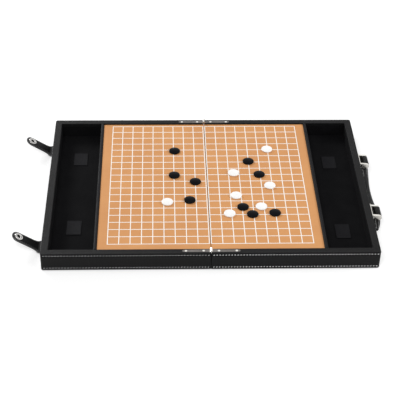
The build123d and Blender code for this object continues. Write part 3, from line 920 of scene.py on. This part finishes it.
bar_x, _, bar_z = joint_place("handle_swing")
for end in ENDS:
    low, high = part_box(f"{end}_handle_bracket")
    middle = (low.y + high.y) / 2
    width = high.y - low.y
    points, faces = [], []
    out = Matrix(((0, 0, 1, wall_x), (1, 0, 0, middle), (0, 1, 0, bar_z), (0, 0, 0, 1)))
    add_slab(points, faces, outline_rounded(width, plate_rise, plate_thickness), 0, plate_thickness, out)
    along = Matrix(((1, 0, 0, bar_x), (0, 0, 1, middle), (0, 1, 0, bar_z), (0, 0, 0, 1)))
    root = -(bar_x - wall_x) + root_clearance
    leg = arc((0, 0), leg_radius, -90, 90, 12) + [(root, leg_root_up), (root, -leg_root_down)]
    for start in (-width / 2, width / 2 - leg_width):
        add_slab(points, faces, leg, start, start + leg_width, along)
    bar = arc((0, 0), bar_radius, 0, 350, 35)
    add_slab(points, faces, bar, -width / 2 + leg_width / 2, width / 2 - leg_width / 2, along)
    bracket = new_piece(f"{end}_bracket_casting", points, faces)
    face_outward(bracket)
    round_edges(bracket, cast_round)
    smooth_over(bracket, 40)
    finish_piece(bracket, bright_plate, "right_half", [f"{end}_handle_bracket"])

screw_shank = 1.2 * mm
screw_depth = 8.6 * mm
screw_head = 2.1 * mm
head_rise = 0.5 * mm
slot_width = 0.5 * mm
slot_floor = 0.05 * mm
head_edge = 0.02 * mm
oval_head = ((0.85, 0.5), (0.6, 0.8), (0.3, 0.95), (0.0, 1.0))
screw_profile = [(0.0, -screw_depth), (screw_shank, -screw_depth), (screw_shank, -screw_shank)]
screw_profile += [(screw_head, head_edge)]
screw_profile += [(screw_head * across, head_rise * up) for across, up in oval_head]
draw = random.Random(9)
points, faces = [], []
slot_points, slot_faces = [], []
slot = [(across * 2 * screw_head, up * slot_width / 2) for across, up in quarters]
for seat in wall_seats("bracket_screws", plate_thickness):
    seat = seat @ Matrix.Rotation(draw.uniform(0, math.pi), 4, "Z")
    add_turned(points, faces, screw_profile, seat, 32)
    add_slab(slot_points, slot_faces, slot, slot_floor, 2 * head_rise, seat)
screws = new_piece("bracket_screw_set", points, faces)
face_outward(screws)
cutter = new_piece("slots", slot_points, slot_faces)
face_outward(cutter)
cut = screws.modifiers.new("slots", "BOOLEAN")
cut.operation = "DIFFERENCE"
cut.solver = "EXACT"
cut.object = cutter
apply_all(screws)
bpy.data.objects.remove(cutter)
smooth_over(screws, 40)
finish_piece(screws, bright_plate, "right_half", ["bracket_screws"])


# Handle. Two leather loops hang on the bars and are sewn into a padded grip, which leans in towards
# the wall. It is round and lowest in its middle, flat under the bars and tapers to stitched ends.
lean = math.radians(17.0)
drop_way = Vector((-math.sin(lean), 0, -math.cos(lean)))
thick_way = Vector((math.cos(lean), 0, -math.sin(lean)))
loop_thickness = 1.8 * mm
grip_drop = 13.4 * mm
grip_radius = 4.2 * mm
grip_end_drop = 7.8 * mm
grip_end_half_width = 6.8 * mm
grip_end_half_height = 3.2 * mm
tip_run = 7.5 * mm
tip_turn = Vector((-2.4, 0.0, -1.6)) * mm
tip_blunt = 1.2
loop_route = ((0.95, -7.4), (0.95, -6.2), (1.0, -5.2), (1.55, -4.0), (2.55, -2.6), (3.15, -1.0), (3.25, 0.5))
loop_round = 0.4 * mm


def spline_at(t, p, q, r, s):
    """A coordinate at a share t of the way from q to r, on a smooth line through p, q, r and s."""
    even = 2 * q + (r - p) * t
    return 0.5 * (even + (2 * p - 5 * q + 4 * r - s) * t**2 + (3 * q - p - 3 * r + s) * t**3)


def spline_through(points, steps):
    """A smooth line through points in a plane, with even steps between them."""
    padded = [points[0]] + list(points) + [points[-1]]
    line = []
    for four in zip(padded, padded[1:], padded[2:], padded[3:]):
        for step in range(steps):
            line.append(tuple(spline_at(step / steps, *values) for values in zip(*four)))
    line.append(points[-1])
    return line


def loop_piece(end, middle, half_width):
    right = spline_through([(x * mm, z * mm) for x, z in loop_route], 3)
    over = arc((0, 0), math.hypot(*right[-1]), 9, 171, 16)
    route = right + over[1:-1] + [(-x, z) for x, z in right[::-1]]
    section = outline_rounded(2 * half_width, loop_thickness, loop_round, 3)
    points, faces = [], []
    for number, (x, z) in enumerate(route):
        before = Vector(route[max(number - 1, 0)])
        after = Vector(route[min(number + 1, len(route) - 1)])
        way = (after - before).normalized()
        normal = Vector((way.y, -way.x))
        for across, up in section:
            here = Vector((x, z)) + normal * up
            points.append(Vector((bar_x, middle + across, bar_z)) + thick_way * here.x - drop_way * here.y)
    size = len(section)
    tube_faces(faces, 0, len(route), size)
    faces.append(tuple(range(size))[::-1])
    faces.append(tuple(range((len(route) - 1) * size, len(route) * size)))
    loop = new_piece(f"{end}_loop_leather", points, faces)
    face_outward(loop)
    smooth_over(loop, 50)
    finish_piece(loop, strap_leather, "handle", [f"{end}_handle_loop"])


for end in ENDS:
    low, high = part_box(f"{end}_handle_loop")
    loop_piece(end, (low.y + high.y) / 2, (high.y - low.y) / 2)

low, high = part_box("handle_grip")
grip_reach = high.y + tip_run
loop_low, loop_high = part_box("rear_handle_loop")
loop_place = (loop_low.y + loop_high.y) / 2


def grip_at(y):
    """The grip's centre at a place along it, and its half width and half height there."""
    quarter = math.pi / 2 * min(abs(y) / loop_place, 1)
    drop = grip_end_drop + (grip_drop - grip_end_drop) * math.cos(quarter)
    flat = math.sin(quarter) ** 2
    past = max(abs(y) - loop_place, 0) / (grip_reach - loop_place)
    size = math.sqrt(max(1 - past**tip_blunt, 0.0004))
    wide = size * (grip_radius + (grip_end_half_width - grip_radius) * flat)
    tall = size * (grip_radius + (grip_end_half_height - grip_radius) * flat)
    return Vector((bar_x, y, bar_z)) + drop_way * drop + tip_turn * past**2, wide, tall


grip_sides = 40
grip_rings = 110
ring_crowding = 1.35
grip_squareness = 0.92
fold_count = 40
fold_width = 2.2 * mm
fold_sink = 0.12
row_turn = math.radians(64)
row_steps = 60
row_start = 0.55 * loop_place
row_stop = 0.97 * grip_reach
first_stitch = 1.2 * mm
grip_pitch = 2.9 * mm
grip_stitch = 2.1 * mm
grip_thread_radius = 0.26 * mm
grip_stitch_sink = 0.08 * mm
loop_clearance = 9.6 * mm
draw = random.Random(5)
folds = []
for _ in range(fold_count):
    fold_place, fold_turn = draw.uniform(-1, 1) * grip_reach, draw.uniform(0, 2 * math.pi)
    folds.append((fold_place, fold_turn, draw.uniform(0.08, 0.2)))
points, faces = [], []
for ring in range(grip_rings + 1):
    share = 2 * ring / grip_rings - 1
    y = grip_reach * math.copysign(1 - (1 - abs(share)) ** ring_crowding, share)
    centre, wide_here, tall_here = grip_at(y)
    for side in range(grip_sides):
        turn = 2 * math.pi * side / grip_sides
        across, up = math.cos(turn), math.sin(turn)
        swell = 1.0
        for fold_y, fold_turn, depth in folds:
            near = math.exp(-(((y - fold_y) / fold_width) ** 2)) * max(0.0, math.cos(turn - fold_turn))
            swell -= fold_sink * depth * near
        wide = math.copysign(abs(across) ** grip_squareness, across) * wide_here * swell
        tall = math.copysign(abs(up) ** grip_squareness, up) * tall_here * swell
        points.append(centre + thick_way * wide - drop_way * tall)
tube_faces(faces, 0, grip_rings + 1, grip_sides)
grip_faces = len(faces)
row_across, row_up = math.cos(row_turn), math.sin(row_turn)
for side in (-1, 1):
    for way in (-1, 1):
        route = []
        for step in range(row_steps + 1):
            y = way * (row_start + (row_stop - row_start) * step / row_steps)
            centre, wide, tall = grip_at(y)
            spot = centre + thick_way * (side * wide * row_across**grip_squareness)
            spot -= drop_way * (tall * row_up**grip_squareness)
            out = thick_way * (side * row_across / wide) - drop_way * (row_up / tall)
            route.append((spot, out.normalized()))
        travelled, due = 0.0, first_stitch
        for (spot, out), (after, _) in zip(route, route[1:]):
            run = (after - spot).length
            along = (after - spot).normalized()
            while due <= travelled + run:
                centre = spot.lerp(after, (due - travelled) / run) - out * grip_stitch_sink
                if abs(abs(centre.y) - loop_place) > loop_clearance:
                    add_stitch(points, faces, centre, along, out, grip_stitch, grip_thread_radius)
                due += grip_pitch
            travelled += run
grip = new_piece("handle_grip_leather", points, faces)
grip.data.shade_smooth()
finish_piece(grip, strap_leather, "handle", ["handle_grip"])
grip.data.materials.append(plain_thread("grip thread", (0.62, 0.62, 0.62), (0.40, 0.40, 0.40)))
for number, face in enumerate(grip.data.polygons):
    face.material_index = int(number >= grip_faces)
face_outward(grip)


# Studio. A pale floor glows white to the camera, except close round what stands on it. The surround
# is white to look at and dimmer as a light. Three soft lamps and the photo's camera complete it.
contact_reach = 3.0 * mm
contact_open = (0.3, 0.8)
glow_near = 0.56
glow_fade = (0.6, 2.0)
ambient = 0.38


def studio_floor():
    made, tree, shader = new_material("pale floor", 0.0)
    seen = place(tree, "ShaderNodeLightPath").outputs["Is Camera Ray"]
    colour = mixed(tree, seen, (0.70, 0.70, 0.70), (0.56, 0.56, 0.56))
    tree.links.new(colour, shader["Base Color"])
    shader["Emission Color"].default_value = (1, 1, 1, 1)
    # Painted contact shadow: the floor's glow to the camera drops where something stands close over it.
    closed = place(tree, "ShaderNodeAmbientOcclusion", {"Distance": contact_reach}).outputs["AO"]
    where = object_place(tree)
    away = place(tree, "ShaderNodeVectorMath", {0: where}, operation="LENGTH").outputs["Value"]
    fading = ramp(tree, away, *glow_fade, glow_near, 1.0)
    open_floor = worked(tree, "MULTIPLY", ramp(tree, closed, *contact_open), fading)
    tree.links.new(worked(tree, "MULTIPLY", seen, open_floor), shader["Emission Strength"])
    shader["Roughness"].default_value = 0.9
    return made


floor_mesh = bpy.data.meshes.new("floor")
floor_mesh.from_pydata([(-5, -5, 0), (5, -5, 0), (5, 5, 0), (-5, 5, 0)], [], [(0, 1, 2, 3)])
floor = bpy.data.objects.new("floor", floor_mesh)
floor_mesh.materials.append(studio_floor())
bpy.context.scene.collection.objects.link(floor)

world = bpy.data.worlds.new("studio surround")
bpy.context.scene.world = world
world.use_nodes = True
sky = world.node_tree
background = sky.nodes["Background"]
path = place(sky, "ShaderNodeLightPath").outputs
seen = worked(sky, "MAXIMUM", path["Is Camera Ray"], path["Is Glossy Ray"])
through = worked(sky, "MAXIMUM", seen, path["Is Transmission Ray"])
sky.links.new(ramp(sky, through, 0.0, 1.0, ambient, 1.0), background.inputs["Strength"])
background.inputs["Color"].default_value = (1, 1, 1, 1)


def soft_lamp(name, place_at, size, power, mirrored=True):
    lamp = bpy.data.lights.new(name, "AREA")
    lamp.shape = "DISK"
    lamp.size = size
    lamp.energy = power
    held = bpy.data.objects.new(name, lamp)
    held.location = place_at
    held.rotation_mode = "QUATERNION"
    held.rotation_quaternion = (-Vector(place_at)).to_track_quat("-Z", "Y")
    held.visible_glossy = mirrored
    bpy.context.scene.collection.objects.link(held)


soft_lamp("back lamp", (-0.95, 1.05, 0.75), 0.5, 14.0)
soft_lamp("right lamp", (1.3, -0.1, 0.65), 0.4, 10.0, mirrored=False)
soft_lamp("high lamp", (-0.3, -0.9, 1.3), 0.5, 8.0)

camera = bpy.data.objects.new("camera", bpy.data.cameras.new("camera"))
bpy.context.scene.collection.objects.link(camera)
bpy.context.scene.camera = camera
right = Vector((0.9994, -0.0307, 0.0176))
up = Vector((0.0051, 0.6168, 0.7871))
back = right.cross(up).normalized()
up = back.cross(right).normalized()
camera.matrix_world = Matrix(
    (
        (right.x, up.x, back.x, -0.0679),
        (right.y, up.y, back.y, -1.3020),
        (right.z, up.z, back.z, 1.0149),
        (0, 0, 0, 1),
    )
)
camera.data.lens = 102.08
camera.data.sensor_width = 36.0
bpy.context.scene.view_settings.view_transform = "Standard"
